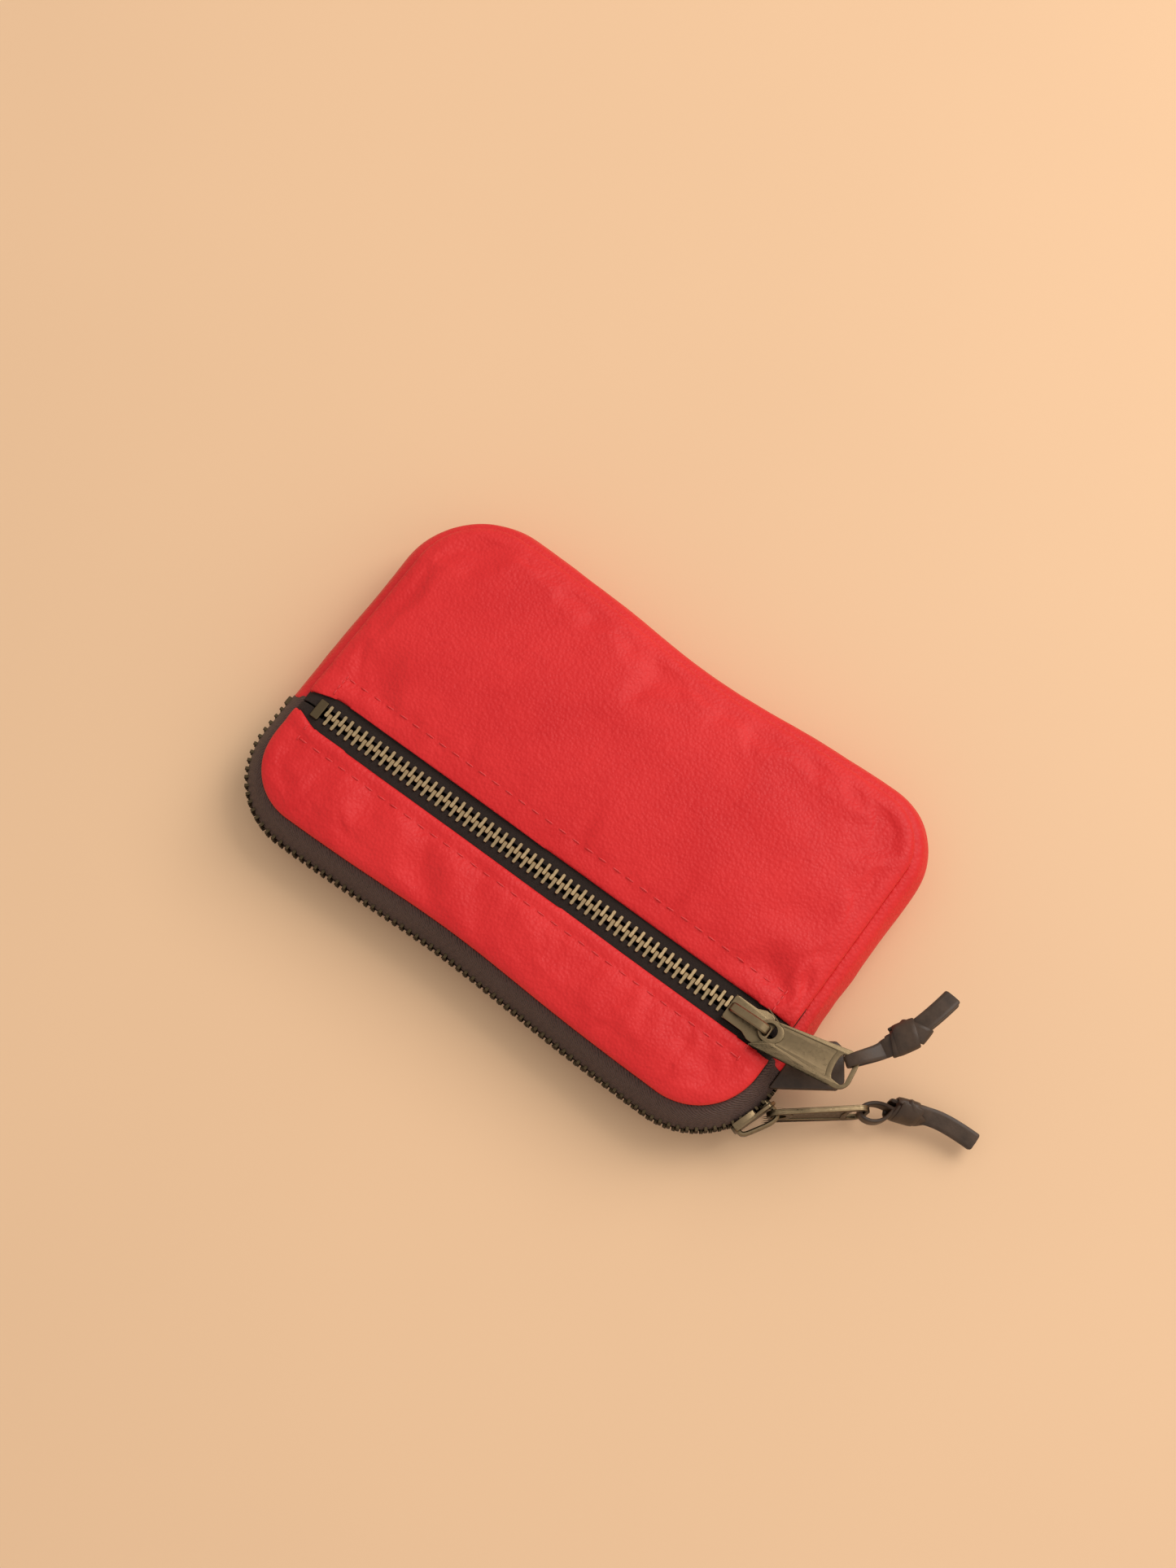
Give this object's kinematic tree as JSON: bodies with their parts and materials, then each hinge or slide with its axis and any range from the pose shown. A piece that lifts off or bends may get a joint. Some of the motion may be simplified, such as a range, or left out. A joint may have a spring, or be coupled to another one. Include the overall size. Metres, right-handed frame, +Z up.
{
  "type": "zippered pouch",
  "caption": "Flat leather zip pouch with a zipped front pocket, an edge zipper round its long side, and metal pulls with knotted leather thongs.",
  "frame": {"origin": "middle of the back panel's flat outer face, on the surface that the pouch rests on", "axes": "+X along the pocket zipper toward its closed end, +Y from the edge zipper's long side toward the folded long side, +Z up through the front panel"},
  "size_m": [0.2233, 0.1138, 0.0338],
  "materials": {
    "red_leather": "fine pebbled grain, soft sheen",
    "dark_tape": "woven zipper tape",
    "antique_brass": "antiqued, satin",
    "thong_leather": "smooth, waxed",
    "lining_cloth": "plain woven cotton",
    "red_thread": "polyester sewing thread"
  },
  "bodies": {
    "pouch": {"front_panel_upper": "red_leather", "front_panel_lower": "red_leather", "back_panel": "red_leather", "gusset_strip": "red_leather", "lining_front_upper": "lining_cloth", "lining_front_lower": "lining_cloth", "lining_back": "lining_cloth", "lining_gusset": "lining_cloth", "pocket_bag": "lining_cloth", "pocket_tape_upper": "dark_tape", "pocket_tape_lower": "dark_tape", "main_tape_front": "dark_tape", "main_tape_back": "dark_tape", "pocket_teeth_upper": "antique_brass", "pocket_teeth_lower": "antique_brass", "main_teeth_front": "antique_brass", "main_teeth_back": "antique_brass", "pocket_top_stops": "antique_brass", "pocket_bottom_stop": "antique_brass", "main_top_stops": "antique_brass", "main_bottom_stop": "antique_brass", "topstitch_upper": "red_thread", "topstitch_lower": "red_thread", "tack_stitches": "red_thread", "end_tab": "thong_leather"},
    "pocket_slider": {"pocket_slider_body": "antique_brass", "pocket_slider_crown": "antique_brass"},
    "pocket_pull": {"pocket_pull": "antique_brass"},
    "pocket_lace": {"pocket_lace": "thong_leather", "pocket_lace_knot": "thong_leather"},
    "main_slider": {"main_slider_body": "antique_brass", "main_slider_crown": "antique_brass"},
    "main_pull": {"main_pull": "antique_brass"},
    "main_lace": {"main_lace": "thong_leather", "main_lace_knot": "thong_leather"}
  },
  "joints": [
    {"name": "pocket_slider_travel", "type": "slide", "parent": "pouch", "child": "pocket_slider", "axis": [1, 0, 0], "range_m": [-0.1362, 0], "deforming": ["pocket_teeth_upper", "pocket_teeth_lower"]},
    {"name": "pocket_pull_swing", "type": "hinge", "parent": "pocket_slider", "child": "pocket_pull", "pos_m": [0.07351, -0.022, 0.0259], "axis": [0.1392, -0.9903, 0], "range_deg": [0, 130]},
    {"name": "pocket_lace_swing", "type": "hinge", "parent": "pocket_pull", "child": "pocket_lace", "pos_m": [0.09854, -0.01429, 0.02726], "axis": [0.7977, -0.6019, 0.037], "range_deg": [0, 60]},
    {"name": "main_slider_turn", "type": "hinge", "parent": "pouch", "child": "main_slider", "pos_m": [0.061, -0.032, 0], "axis": [0, 0, 1], "range_deg": [-72, 0], "deforming": ["main_teeth_front", "main_teeth_back"]},
    {"name": "main_pull_swing", "type": "hinge", "parent": "main_slider", "child": "main_pull", "pos_m": [0.08824, -0.03716, 0.011], "axis": [-0.0642, -0.1977, -0.9781], "range_deg": [-32, 98]},
    {"name": "main_lace_swing", "type": "hinge", "parent": "main_pull", "child": "main_lace", "pos_m": [0.10846, -0.02054, 0.00631], "axis": [0.0642, 0.1977, 0.9781], "range_deg": [-30, 20]}
  ]
}
